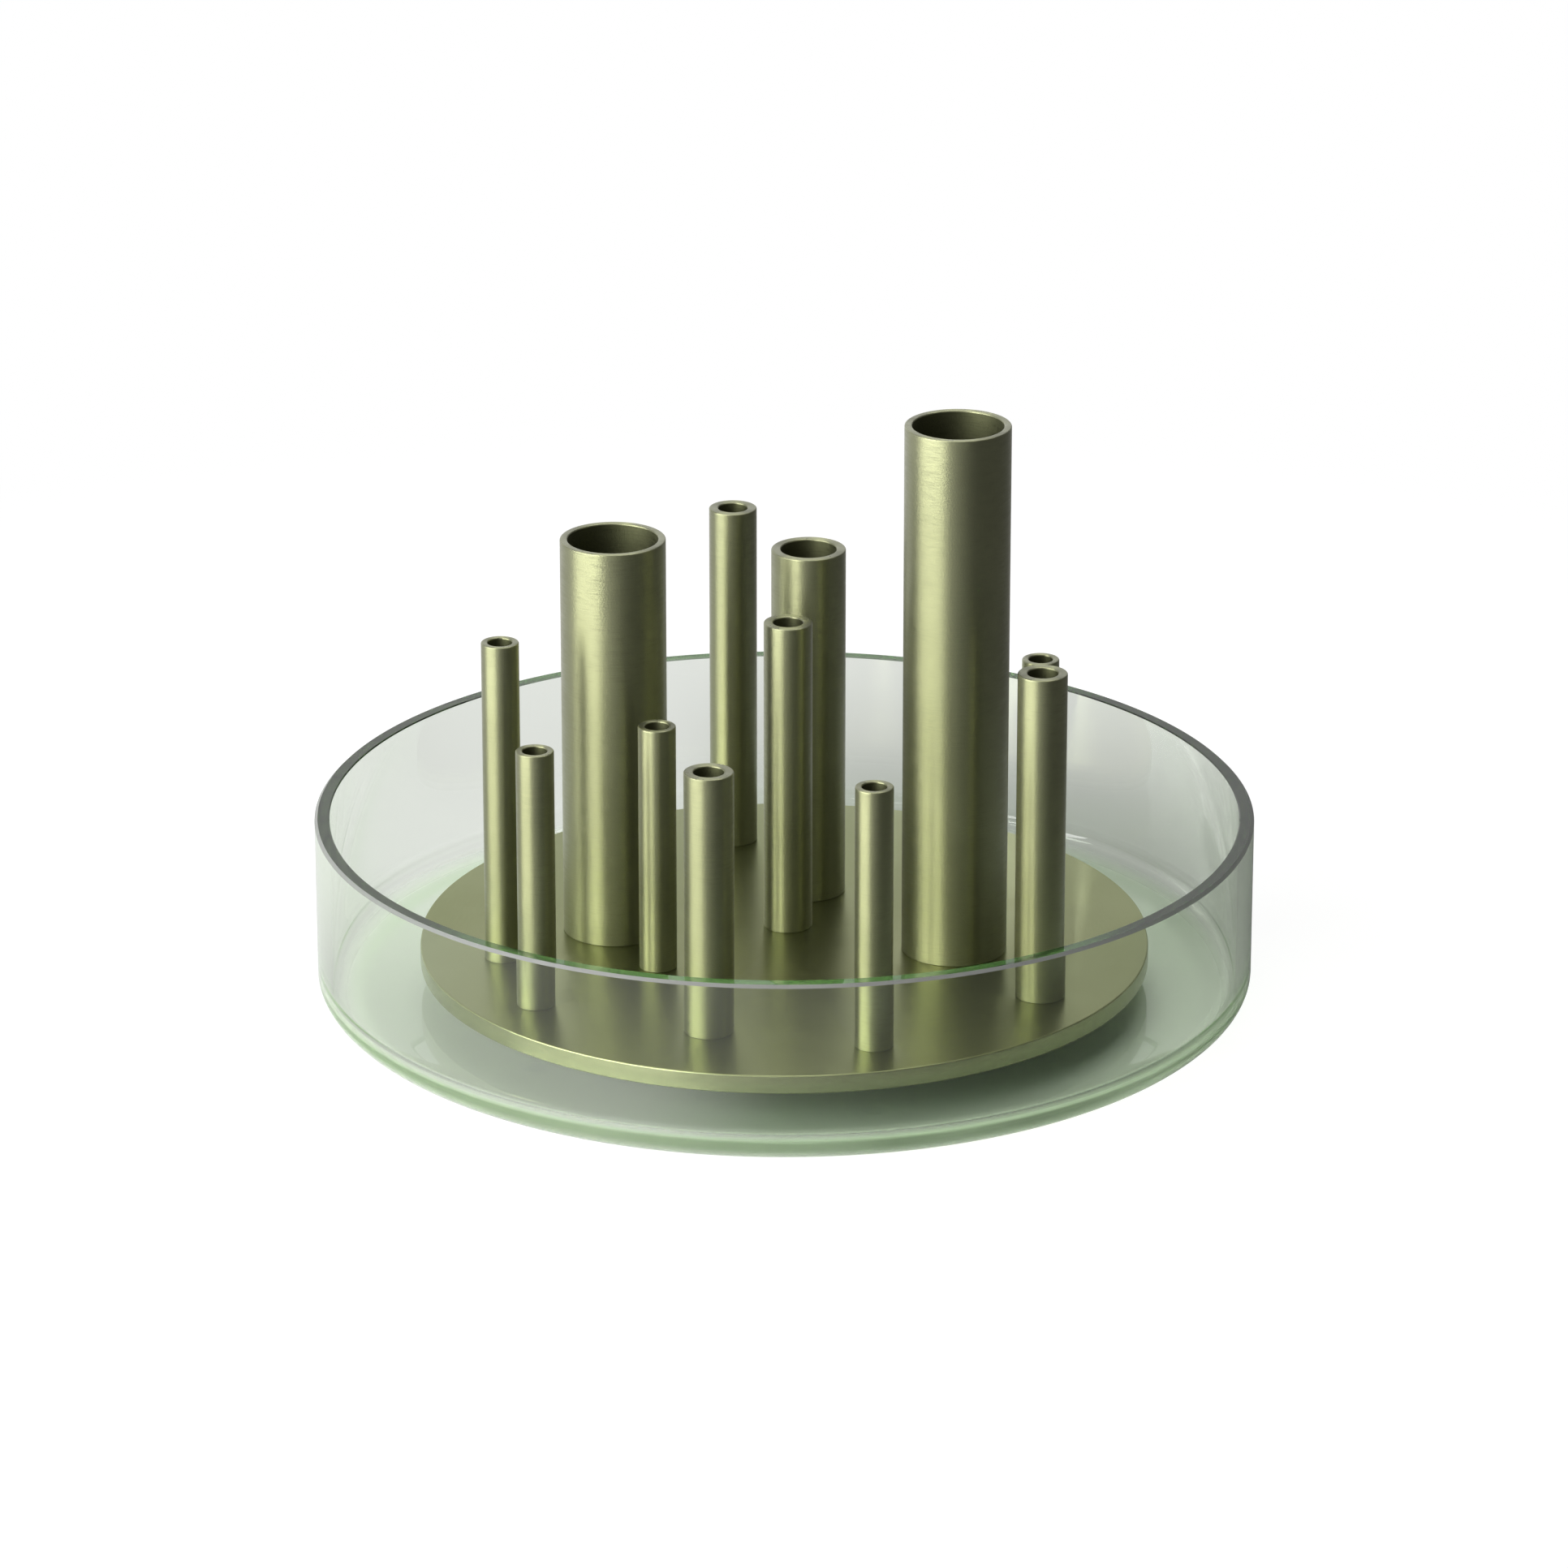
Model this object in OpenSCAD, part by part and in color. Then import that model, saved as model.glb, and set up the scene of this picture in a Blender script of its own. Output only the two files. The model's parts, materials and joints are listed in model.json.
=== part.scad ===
// Low vase for a loose arrangement of stems: a shallow glass bowl holds the water, and a
// metal insert stands in it on four rubber feet. The insert is a round plate with twelve
// upright tubes of four widths. Each tube is open at both ends, so that a stem reaches the
// water under the plate. The insert lifts straight out of the bowl.
//
// Millimetres. +Z is up. The origin is the centre of the bowl's underside, on the table.
// -Y is the front, and angles run anticlockwise from +X, seen from above.

/* [Glass bowl] */
// Outer diameter of the bowl
bowl_d = 250; // [232:1:320]
// Height of the bowl, from the table to the rim
bowl_h = 51; // [34:0.5:90]
// Thickness of the upright wall
bowl_wall = 4; // [3:0.1:6]
// Thickness of the floor
bowl_floor = 4; // [3:0.1:8]
// Width of the rounded corner under the wall, measured in from the outside
corner_w = 15; // [8:0.5:24]
// Height of the rounded corner under the wall
corner_h = 8; // [5:0.5:16]
// Width of the rounded corner inside the bowl
inner_corner_w = 12; // [6:0.5:18]
// Height of the rounded corner inside the bowl
inner_corner_h = 7; // [4:0.5:14]
// Size of the ground bevel outside the rim
rim_bevel = 0.8; // [0.3:0.1:1.5]
// Size of the ground bevel inside the rim
rim_inner_bevel = 0.3; // [0.1:0.1:1]

/* [Base plate] */
// Water gap between the plate and the bowl's wall
plate_gap = 23.5; // [12:0.5:32]
// Thickness of the plate
plate_t = 5; // [4:0.5:10]
// Chamfer round the plate's top and bottom edges
plate_chamfer = 0.4; // [0.2:0.1:1.5]

/* [Tube sections] */
// Outer diameter of the slim tubes
slim_d = 10; // [9:0.1:12]
// Bore of the slim tubes
slim_bore = 6.5; // [4:0.1:6.8]
// Outer diameter of the narrow tubes
narrow_d = 13; // [12:0.1:15]
// Bore of the narrow tubes
narrow_bore = 8; // [6:0.1:9]
// Outer diameter of the medium tube
medium_d = 20; // [18:0.1:23]
// Bore of the medium tube
medium_bore = 15; // [12:0.1:15.8]
// Outer diameter of the wide tubes
wide_d = 28; // [26.5:0.1:31]
// Bore of the wide tubes
wide_bore = 24; // [20:0.1:24.4]
// Chamfer outside each tube's mouth
mouth_chamfer = 0.35; // [0.1:0.05:0.6]
// Chamfer inside each end of a bore
bore_chamfer = 0.35; // [0.1:0.05:0.6]
// Chamfer round each tube's lower edge, over the plate
seat_chamfer = 0.25; // [0.1:0.05:0.4]

/* [Tube joints] */
// Width of the shoulder that seats on the plate
shoulder_w = 0.75; // [0.5:0.05:0.9]
// Gap for adhesive round each spigot in the plate
spigot_gap = 0.03; // [0.01:0.01:0.1]
// How far each spigot stops short of the plate's underside
spigot_short = 0.3; // [0:0.1:1]

/* [Slim tubes] */
// Left tube: height above the plate
slim_left_h = 88.3; // [40:0.1:160]
// Left tube: direction from the centre
slim_left_angle = 192; // [186:0.1:198]
// Left tube: centre, measured in from the plate's edge
slim_left_inset = 21.3; // [14:0.1:30]
// Front left tube: height above the plate
slim_front_left_h = 70.2; // [40:0.1:160]
// Front left tube: direction from the centre
slim_front_left_angle = 217; // [211:0.1:223]
// Front left tube: centre, measured in from the plate's edge
slim_front_left_inset = 16.6; // [10:0.1:25]
// Inner left tube: height above the plate
slim_inner_left_h = 67.9; // [40:0.1:160]
// Inner left tube: place across
slim_inner_left_x = -33.4; // [-38:0.1:-28]
// Inner left tube: place in depth
slim_inner_left_y = -23.9; // [-29:0.1:-20]
// Front right tube: height above the plate
slim_front_right_h = 70.9; // [40:0.1:160]
// Front right tube: direction from the centre
slim_front_right_angle = 286.7; // [281:0.1:292]
// Front right tube: centre, measured in from the plate's edge
slim_front_right_inset = 17.4; // [10:0.1:26]
// Right tube: height above the plate
slim_right_h = 70; // [40:0.1:160]
// Right tube: direction from the centre
slim_right_angle = 17.9; // [12:0.1:24]
// Right tube: centre, measured in from the plate's edge
slim_right_inset = 25.4; // [18:0.1:28]

/* [Narrow tubes] */
// Back tube: height above the plate
narrow_back_h = 96.6; // [40:0.1:160]
// Back tube: direction from the centre
narrow_back_angle = 101.3; // [95:0.1:107]
// Back tube: centre, measured in from the plate's edge
narrow_back_inset = 26.1; // [14:0.1:33]
// Middle tube: height above the plate
narrow_middle_h = 86.2; // [40:0.1:160]
// Middle tube: place across
narrow_middle_x = 1; // [-4:0.1:6]
// Middle tube: place in depth
narrow_middle_y = 5.9; // [1:0.1:10]
// Front tube: height above the plate
narrow_front_h = 71.2; // [40:0.1:160]
// Front tube: direction from the centre
narrow_front_angle = 253.8; // [248:0.1:259]
// Front tube: centre, measured in from the plate's edge
narrow_front_inset = 27.9; // [14:0.1:35]
// Right tube: height above the plate
narrow_right_h = 89.3; // [40:0.1:160]
// Right tube: direction from the centre
narrow_right_angle = 327.6; // [322:0.1:333]
// Right tube: centre, measured in from the plate's edge
narrow_right_inset = 18.3; // [12:0.1:28]

/* [Medium and wide tubes] */
// Medium tube: height above the plate
medium_back_h = 97.8; // [40:0.1:160]
// Medium tube: place across
medium_back_x = 6.5; // [2:0.1:11]
// Medium tube: place in depth
medium_back_y = 32; // [28:0.1:38]
// Wide left tube: height above the plate
wide_left_h = 110.3; // [60:0.1:200]
// Wide left tube: place across
wide_left_x = -45.2; // [-49:0.1:-40]
// Wide left tube: place in depth
wide_left_y = 3.7; // [0:0.1:9]
// Wide right tube: height above the plate
wide_right_h = 146.3; // [60:0.1:200]
// Wide right tube: place across
wide_right_x = 45.2; // [41:0.1:48]
// Wide right tube: place in depth
wide_right_y = -10.6; // [-14:0.1:-6]

/* [Feet and their screws] */
// Height of the feet, from the bowl's floor to the plate
foot_h = 6.4; // [5:0.1:12]
// Diameter of a foot where it meets the plate
foot_d = 14; // [11:0.5:16]
// How much narrower a foot is at the bottom
foot_taper = 1.2; // [0:0.1:2]
// Chamfer round a foot's bottom edge
foot_chamfer = 0.6; // [0.2:0.1:1]
// Centres of the feet, measured in from the plate's edge
foot_inset = 35.5; // [30:0.5:42]
// Thread diameter of a screw
screw_d = 3; // [2.5:0.1:4]
// Diameter of a screw's head
screw_head_d = 5.7; // [5:0.1:7]
// Height of a screw's head
screw_head_h = 1.7; // [1.2:0.1:2.2]
// Hexagon socket in a screw's head, across its flats
screw_socket = 2; // [1.5:0.1:3]
// Depth of that socket
screw_socket_depth = 1.1; // [0.6:0.1:1.1]
// How far a screw's head stays above the foot's bottom
screw_head_sunk = 1.5; // [1:0.1:2]
// Gap round the screw's head and its shank in the rubber
screw_gap = 0.2; // [0.1:0.05:0.5]
// Gap round the thread in the plate's hole
thread_gap = 0.03; // [0.01:0.01:0.1]
// Free depth of the plate's hole past the end of the screw
screw_end_gap = 0.6; // [0.2:0.1:1]
// Metal left in the plate over each screw hole
screw_cover = 1.6; // [0.8:0.1:2]

/* [Hidden] */
$fn = 96;
corner_steps = 14;
overcut = 1;

plate_r = bowl_d / 2 - bowl_wall - plate_gap;
plate_bottom = bowl_floor + foot_h;
plate_top = plate_bottom + plate_t;

foot_r = plate_r - foot_inset;
foot_back_right = 45;
foot_back_left = 135;
foot_front_left = 225;
foot_front_right = 315;

screw_head_z = bowl_floor + screw_head_sunk;
screw_shank_z = screw_head_z + screw_head_h;
screw_hole_top = plate_top - screw_cover;
screw_end = screw_hole_top - screw_end_gap;
socket_r = screw_socket / 2 / cos(30);

glass = [0.74, 0.85, 0.78, 0.45];
olive_aluminium = [0.50, 0.49, 0.34];
grey_rubber = [0.34, 0.35, 0.34];
bare_steel = [0.74, 0.74, 0.73];

// A place on the plate given by its direction and its distance in from the plate's edge.
function near_edge(angle, inset) = (plate_r - inset) * [cos(angle), sin(angle)];

// A quarter of an ellipse from one angle to the next, about a centre in the profile plane.
function corner(centre, w, h, from, to) = [
    for (i = [0 : corner_steps])
        let (a = from + (to - from) * i / corner_steps)
            centre + [w * cos(a), h * sin(a)]
];

slim_left_at = near_edge(slim_left_angle, slim_left_inset);
slim_front_left_at = near_edge(slim_front_left_angle, slim_front_left_inset);
slim_inner_left_at = [slim_inner_left_x, slim_inner_left_y];
slim_front_right_at = near_edge(slim_front_right_angle, slim_front_right_inset);
slim_right_at = near_edge(slim_right_angle, slim_right_inset);
narrow_back_at = near_edge(narrow_back_angle, narrow_back_inset);
narrow_middle_at = [narrow_middle_x, narrow_middle_y];
narrow_front_at = near_edge(narrow_front_angle, narrow_front_inset);
narrow_right_at = near_edge(narrow_right_angle, narrow_right_inset);
medium_back_at = [medium_back_x, medium_back_y];
wide_left_at = [wide_left_x, wide_left_y];
wide_right_at = [wide_right_x, wide_right_y];

// Every group of like tubes with its places, for the plate's holes.
tube_groups = [
    [slim_d, [slim_left_at, slim_front_left_at, slim_inner_left_at, slim_front_right_at, slim_right_at]],
    [narrow_d, [narrow_back_at, narrow_middle_at, narrow_front_at, narrow_right_at]],
    [medium_d, [medium_back_at]],
    [wide_d, [wide_left_at, wide_right_at]]
];

// The bowl: an upright wall with a cut and ground rim, over a flat floor.
module glass_bowl() {
    outer_r = bowl_d / 2;
    inner_r = outer_r - bowl_wall;
    outer_corner = corner([outer_r - corner_w, corner_h], corner_w, corner_h, -90, 0);
    inner_corner = corner(
        [inner_r - inner_corner_w, bowl_floor + inner_corner_h], inner_corner_w, inner_corner_h, 0, -90
    );
    color(glass)
        rotate_extrude()
            polygon(concat(
                [[0, 0]],
                outer_corner,
                [
                    [outer_r, bowl_h - rim_bevel],
                    [outer_r - rim_bevel, bowl_h],
                    [inner_r + rim_inner_bevel, bowl_h],
                    [inner_r, bowl_h - rim_inner_bevel]
                ],
                inner_corner,
                [[0, bowl_floor]]
            ));
}

// The plate: a chamfered disc with a through hole for each spigot and a blind one for each screw.
module base_plate() {
    color(olive_aluminium)
        difference() {
            translate([0, 0, plate_bottom])
                rotate_extrude()
                    polygon([
                        [0, 0],
                        [plate_r - plate_chamfer, 0],
                        [plate_r, plate_chamfer],
                        [plate_r, plate_t - plate_chamfer],
                        [plate_r - plate_chamfer, plate_t],
                        [0, plate_t]
                    ]);
            for (group = tube_groups)
                for (at = group[1])
                    translate([at.x, at.y, plate_bottom - overcut])
                        cylinder(d = group[0] - 2 * shoulder_w + 2 * spigot_gap, h = plate_t + 2 * overcut);
            for (angle = [foot_back_right, foot_back_left, foot_front_left, foot_front_right])
                rotate(angle)
                    translate([foot_r, 0, plate_bottom - overcut])
                        cylinder(d = screw_d + 2 * thread_gap, h = screw_hole_top - plate_bottom + overcut);
        }
}

// One tube: its shoulder seats on the plate, its spigot goes into the plate, its bore runs right through.
module flower_tube(at, outer_d, bore_d, height) {
    outer_r = outer_d / 2;
    bore_r = bore_d / 2;
    spigot_r = outer_r - shoulder_w;
    spigot_bottom = spigot_short - plate_t;
    color(olive_aluminium)
        translate([at.x, at.y, plate_top])
            rotate_extrude()
                polygon([
                    [bore_r + bore_chamfer, spigot_bottom],
                    [spigot_r, spigot_bottom],
                    [spigot_r, 0],
                    [outer_r - seat_chamfer, 0],
                    [outer_r, seat_chamfer],
                    [outer_r, height - mouth_chamfer],
                    [outer_r - mouth_chamfer, height],
                    [bore_r + bore_chamfer, height],
                    [bore_r, height - bore_chamfer],
                    [bore_r, spigot_bottom + bore_chamfer]
                ]);
}

module slim_tube_left() { flower_tube(slim_left_at, slim_d, slim_bore, slim_left_h); }
module slim_tube_front_left() { flower_tube(slim_front_left_at, slim_d, slim_bore, slim_front_left_h); }
module slim_tube_inner_left() { flower_tube(slim_inner_left_at, slim_d, slim_bore, slim_inner_left_h); }
module slim_tube_front_right() { flower_tube(slim_front_right_at, slim_d, slim_bore, slim_front_right_h); }
module slim_tube_right() { flower_tube(slim_right_at, slim_d, slim_bore, slim_right_h); }
module narrow_tube_back() { flower_tube(narrow_back_at, narrow_d, narrow_bore, narrow_back_h); }
module narrow_tube_middle() { flower_tube(narrow_middle_at, narrow_d, narrow_bore, narrow_middle_h); }
module narrow_tube_front() { flower_tube(narrow_front_at, narrow_d, narrow_bore, narrow_front_h); }
module narrow_tube_right() { flower_tube(narrow_right_at, narrow_d, narrow_bore, narrow_right_h); }
module medium_tube_back() { flower_tube(medium_back_at, medium_d, medium_bore, medium_back_h); }
module wide_tube_left() { flower_tube(wide_left_at, wide_d, wide_bore, wide_left_h); }
module wide_tube_right() { flower_tube(wide_right_at, wide_d, wide_bore, wide_right_h); }

// One rubber foot: a tapered puck with a hole for the screw and a pocket that hides its head.
module rubber_foot(angle) {
    top_r = foot_d / 2;
    bottom_r = top_r - foot_taper / 2;
    hole_r = screw_d / 2 + screw_gap;
    pocket_r = screw_head_d / 2 + screw_gap;
    pocket_top = screw_shank_z - bowl_floor;
    color(grey_rubber)
        rotate(angle)
            translate([foot_r, 0, bowl_floor])
                rotate_extrude()
                    polygon([
                        [pocket_r, 0],
                        [bottom_r - foot_chamfer, 0],
                        [bottom_r, foot_chamfer],
                        [top_r, foot_h],
                        [hole_r, foot_h],
                        [hole_r, pocket_top],
                        [pocket_r, pocket_top]
                    ]);
}

module foot_back_right() { rubber_foot(foot_back_right); }
module foot_back_left() { rubber_foot(foot_back_left); }
module foot_front_left() { rubber_foot(foot_front_left); }
module foot_front_right() { rubber_foot(foot_front_right); }

// One screw: its head clamps the foot from below, and its shank goes up into the plate.
module foot_screw(angle) {
    color(bare_steel)
        rotate(angle)
            translate([foot_r, 0, 0])
                difference() {
                    union() {
                        translate([0, 0, screw_head_z])
                            cylinder(d = screw_head_d, h = screw_head_h);
                        translate([0, 0, screw_head_z])
                            cylinder(d = screw_d, h = screw_end - screw_head_z);
                    }
                    translate([0, 0, screw_head_z - overcut])
                        cylinder(r = socket_r, h = screw_socket_depth + overcut, $fn = 6);
                }
}

module screw_back_right() { foot_screw(foot_back_right); }
module screw_back_left() { foot_screw(foot_back_left); }
module screw_front_left() { foot_screw(foot_front_left); }
module screw_front_right() { foot_screw(foot_front_right); }

glass_bowl();
base_plate();
slim_tube_left();
slim_tube_front_left();
slim_tube_inner_left();
slim_tube_front_right();
slim_tube_right();
narrow_tube_back();
narrow_tube_middle();
narrow_tube_front();
narrow_tube_right();
medium_tube_back();
wide_tube_left();
wide_tube_right();
foot_back_right();
foot_back_left();
foot_front_left();
foot_front_right();
screw_back_right();
screw_back_left();
screw_front_left();
screw_front_right();
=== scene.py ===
"""The looks of the low vase: a pale green glass bowl with an olive metal insert of twelve tubes.

Lengths are in metres, +Z is up and -Y is the front. Every piece takes its place and its main sizes from
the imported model.
"""

import json
import logging
import math
from collections.abc import Sequence
from dataclasses import dataclass
from enum import Enum

import bmesh
import bpy
from mathutils import Matrix, Vector


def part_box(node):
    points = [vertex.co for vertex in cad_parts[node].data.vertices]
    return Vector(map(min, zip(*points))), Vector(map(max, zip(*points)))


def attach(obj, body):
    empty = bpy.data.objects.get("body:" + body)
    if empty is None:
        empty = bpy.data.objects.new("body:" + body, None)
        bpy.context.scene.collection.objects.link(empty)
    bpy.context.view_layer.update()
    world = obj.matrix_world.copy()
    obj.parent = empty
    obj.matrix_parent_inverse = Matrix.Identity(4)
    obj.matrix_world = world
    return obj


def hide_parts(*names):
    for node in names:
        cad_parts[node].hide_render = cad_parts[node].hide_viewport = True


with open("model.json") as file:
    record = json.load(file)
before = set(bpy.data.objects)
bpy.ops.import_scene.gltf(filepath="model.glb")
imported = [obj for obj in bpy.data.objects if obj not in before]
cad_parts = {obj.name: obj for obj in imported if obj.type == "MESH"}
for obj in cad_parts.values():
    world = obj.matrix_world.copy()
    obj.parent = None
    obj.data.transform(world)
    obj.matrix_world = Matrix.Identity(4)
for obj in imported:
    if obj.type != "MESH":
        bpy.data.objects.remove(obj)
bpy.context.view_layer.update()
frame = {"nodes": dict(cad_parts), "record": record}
log = logging.getLogger("low_vase")

FULL_TURN = 2 * math.pi
# Faces that meet at less than this angle look like one smooth surface.
SHARP_ANGLE = math.radians(18)
# Vertices nearer to each other than this are joined.
WELD = 1e-7
# How near to an edge a vertex on it lies, as a share of the edge's rounding.
NEAR_EDGE = 0.05
MILLIMETRES_PER_METRE = 1000
WHITE = (1.0, 1.0, 1.0)
BLACK = (0.0, 0.0, 0.0)


class Body(Enum):
    """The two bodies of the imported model."""

    BOWL = "bowl"
    INSERT = "insert"


class Slot(Enum):
    """The record's material slots."""

    GLASS = "glass"
    ALUMINIUM = "anodised_aluminium"
    RUBBER = "rubber"
    STEEL = "screw_steel"


@dataclass(frozen=True)
class Ramp:
    """How a value eases from a first to a last level, while another value goes from low to high."""

    low: float
    high: float
    first: float = 0.0
    last: float = 1.0


# Shapes


def spun(outline: Sequence[tuple[float, float]], steps: int, closed: bool) -> bmesh.types.BMesh:
    """Turns an outline once round the Z axis.

    Args:
        outline: Radius and height of each point.
        steps: Number of steps in the full turn.
        closed: True where the last point joins the first, as in a ring.

    Returns:
        The mesh, with its seam and poles closed and its faces outwards.
    """
    mesh = bmesh.new()
    points = [mesh.verts.new((radius, 0, height)) for radius, height in outline]
    ends = points[1:] + points[:1] if closed else points[1:]
    edges = [mesh.edges.new(pair) for pair in zip(points, ends)]
    bmesh.ops.spin(
        mesh, geom=points + edges, cent=(0, 0, 0), axis=(0, 0, 1), dvec=(0, 0, 0),
        angle=FULL_TURN, steps=steps, use_merge=True, use_normal_flip=False, use_duplicate=False,
    )
    bmesh.ops.remove_doubles(mesh, verts=mesh.verts, dist=WELD)
    bmesh.ops.recalc_face_normals(mesh, faces=mesh.faces)
    return mesh


def round_ring(
    mesh: bmesh.types.BMesh, radius: float, height: float, width: float, segments: int
) -> None:
    """Rounds the circular edge at a given radius and height.

    Args:
        mesh: The spun mesh.
        radius: Radius of the edge.
        height: Height of the edge.
        width: How far the rounding reaches over each face.
        segments: Number of faces across the rounding.
    """
    near = width * NEAR_EDGE

    def on_ring(vert: bmesh.types.BMVert) -> bool:
        """True if the vertex lies on the edge."""
        return abs(vert.co.xy.length - radius) < near and abs(vert.co.z - height) < near

    ring = [edge for edge in mesh.edges if all(on_ring(vert) for vert in edge.verts)]
    bmesh.ops.bevel(
        mesh, geom=ring, offset=width, offset_type="OFFSET", segments=segments,
        profile=0.5, affect="EDGES", material=-1, clamp_overlap=True,
    )


def quarter_ellipse(
    centre: tuple[float, float], width: float, height: float, start: float, end: float, steps: int
) -> list[tuple[float, float]]:
    """Points along a quarter of an ellipse in the plane of an outline.

    Args:
        centre: Radius and height of its centre.
        width: Its half axis across.
        height: Its half axis upwards.
        start: First angle, in degrees.
        end: Last angle, in degrees.
        steps: Number of steps.

    Returns:
        The radius and height of each point.
    """
    angles = [math.radians(start + (end - start) * i / steps) for i in range(steps + 1)]
    return [(centre[0] + width * math.cos(a), centre[1] + height * math.sin(a)) for a in angles]


def made_object(name: str, mesh: bmesh.types.BMesh) -> bpy.types.Object:
    """Makes an object of a mesh, smooth except over its sharp edges.

    Args:
        name: Name of the new object.
        mesh: Its shape, which is used up.

    Returns:
        The object, at the origin.
    """
    for face in mesh.faces:
        face.smooth = True
    for edge in mesh.edges:
        edge.smooth = len(edge.link_faces) == 2 and edge.calc_face_angle() < SHARP_ANGLE
    data = bpy.data.meshes.new(name)
    mesh.to_mesh(data)
    mesh.free()
    piece = bpy.data.objects.new(name, data)
    bpy.context.scene.collection.objects.link(piece)
    return piece


def cut_away(shape: bmesh.types.BMesh, holes: bmesh.types.BMesh) -> bmesh.types.BMesh:
    """Cuts holes into a shape.

    Args:
        shape: The solid, which is used up.
        holes: Closed solids where the holes are, which are used up.

    Returns:
        The cut solid.
    """
    solid = made_object("uncut", shape)
    cutter = made_object("cutter", holes)
    cut = solid.modifiers.new("holes", "BOOLEAN")
    cut.operation = "DIFFERENCE"
    cut.solver = "EXACT"
    cut.object = cutter
    result = bmesh.new()
    result.from_object(solid, bpy.context.evaluated_depsgraph_get())
    for used in (solid, cutter):
        data = used.data
        bpy.data.objects.remove(used)
        bpy.data.meshes.remove(data)
    return result


def fit_out(
    piece: bpy.types.Object, materials: Sequence[bpy.types.Material], body: Body, node: str
) -> None:
    """Dresses a piece and puts it in place of its CAD node.

    Args:
        piece: The piece.
        materials: Its materials, in the order of the faces' material numbers.
        body: The body that it moves with.
        node: The CAD node that it stands for.
    """
    for material in materials:
        piece.data.materials.append(material)
    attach(piece, body.value)
    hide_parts(node)
    log.info("%s: %d faces on %s", piece.name, len(piece.data.polygons), body.value)


# Shader nodes


def as_colour(value: object) -> object:
    """What a colour input takes: an output as it is, or three numbers with a fourth for opaque."""
    return value if isinstance(value, bpy.types.NodeSocket) else (*value, 1)


class NodeBoard:
    """A shader node tree with short calls that place and join its nodes."""

    def __init__(self, tree: bpy.types.NodeTree) -> None:
        """Works on one tree, which keeps the nodes that it has."""
        self.tree = tree

    def add(
        self,
        kind: str,
        inputs: dict[str | int, object] | None = None,
        **settings: object,
    ) -> bpy.types.Node:
        """Places a node.

        Args:
            kind: The node's type in Blender.
            inputs: A value, or an output to join, for each input by its name or number.
            **settings: Other properties of the node.

        Returns:
            The node.
        """
        node = self.tree.nodes.new(kind)
        for key, value in settings.items():
            setattr(node, key, value)
        for key, value in (inputs or {}).items():
            if isinstance(value, bpy.types.NodeSocket):
                self.tree.links.new(value, node.inputs[key])
            else:
                node.inputs[key].default_value = value
        return node

    def math(self, operation: str, first: object, second: object = 0.0) -> bpy.types.NodeSocket:
        """The output of a Math node on one or two values or outputs."""
        return self.add("ShaderNodeMath", {0: first, 1: second}, operation=operation).outputs[0]

    def eased(self, value: object, ramp: Ramp) -> bpy.types.NodeSocket:
        """The output of a Map Range node that takes a value along a ramp, and clamps it."""
        inputs = {
            "Value": value,
            "From Min": ramp.low,
            "From Max": ramp.high,
            "To Min": ramp.first,
            "To Max": ramp.last,
        }
        node = self.add("ShaderNodeMapRange", inputs, interpolation_type="SMOOTHSTEP")
        return node.outputs["Result"]

    def direction(self, place: object) -> bpy.types.NodeSocket:
        """The output of a Normalize node, which is the direction of a place."""
        return self.add("ShaderNodeVectorMath", {0: place}, operation="NORMALIZE").outputs[0]

    def length(self, place: object) -> bpy.types.NodeSocket:
        """The output of a Length node, which is how far away a place is."""
        return self.add("ShaderNodeVectorMath", {0: place}, operation="LENGTH").outputs["Value"]

    def towards(self, place: object, side: Sequence[float]) -> bpy.types.NodeSocket:
        """The output of a Dot Product node, which is how far a place lies to one side."""
        node = self.add("ShaderNodeVectorMath", {0: place, 1: side}, operation="DOT_PRODUCT")
        return node.outputs["Value"]

    def level(self, parts: bpy.types.Node) -> bpy.types.NodeSocket:
        """A place with its height taken out, from the node that parts its X, Y and Z."""
        inputs = {0: parts.outputs["X"], 1: parts.outputs["Y"], 2: 0.0}
        return self.add("ShaderNodeCombineXYZ", inputs).outputs[0]

    def glowing(self, strength: object) -> bpy.types.NodeSocket:
        """A shader that gives off white light of one strength."""
        return self.add("ShaderNodeEmission", {"Strength": strength}).outputs[0]

    def matt(self, colour: object) -> bpy.types.NodeSocket:
        """A plain matt shader of one colour."""
        return self.add("ShaderNodeBsdfDiffuse", {"Color": as_colour(colour)}).outputs[0]

    def bumped(self, height: object) -> bpy.types.NodeSocket:
        """The normal that a height in metres gives."""
        inputs = {"Height": height, "Strength": 1.0, "Distance": 1.0}
        return self.add("ShaderNodeBump", inputs).outputs["Normal"]

    def noise(self, place: bpy.types.NodeSocket, scale: float, detail: float = 2.0) -> bpy.types.NodeSocket:
        """The value of a Noise Texture over a place."""
        inputs = {"Vector": place, "Scale": scale, "Detail": detail}
        return self.add("ShaderNodeTexNoise", inputs).outputs["Fac"]

    def attribute(self, name: str) -> bpy.types.NodeSocket:
        """The value of one of the mesh's own attributes."""
        node = self.add("ShaderNodeAttribute", attribute_type="GEOMETRY", attribute_name=name)
        return node.outputs["Fac"]

    def blend(self, factor: object, first: object, second: object) -> bpy.types.NodeSocket:
        """The shader that goes from the first to the second as the factor goes from 0 to 1."""
        return self.add("ShaderNodeMixShader", {0: factor, 1: first, 2: second}).outputs[0]

    def tint(self, factor: object, first: object, second: object) -> bpy.types.NodeSocket:
        """The colour that goes from the first to the second as the factor goes from 0 to 1."""
        inputs = {0: factor, 6: as_colour(first), 7: as_colour(second)}
        return self.add("ShaderNodeMix", inputs, data_type="RGBA").outputs[2]


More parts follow.
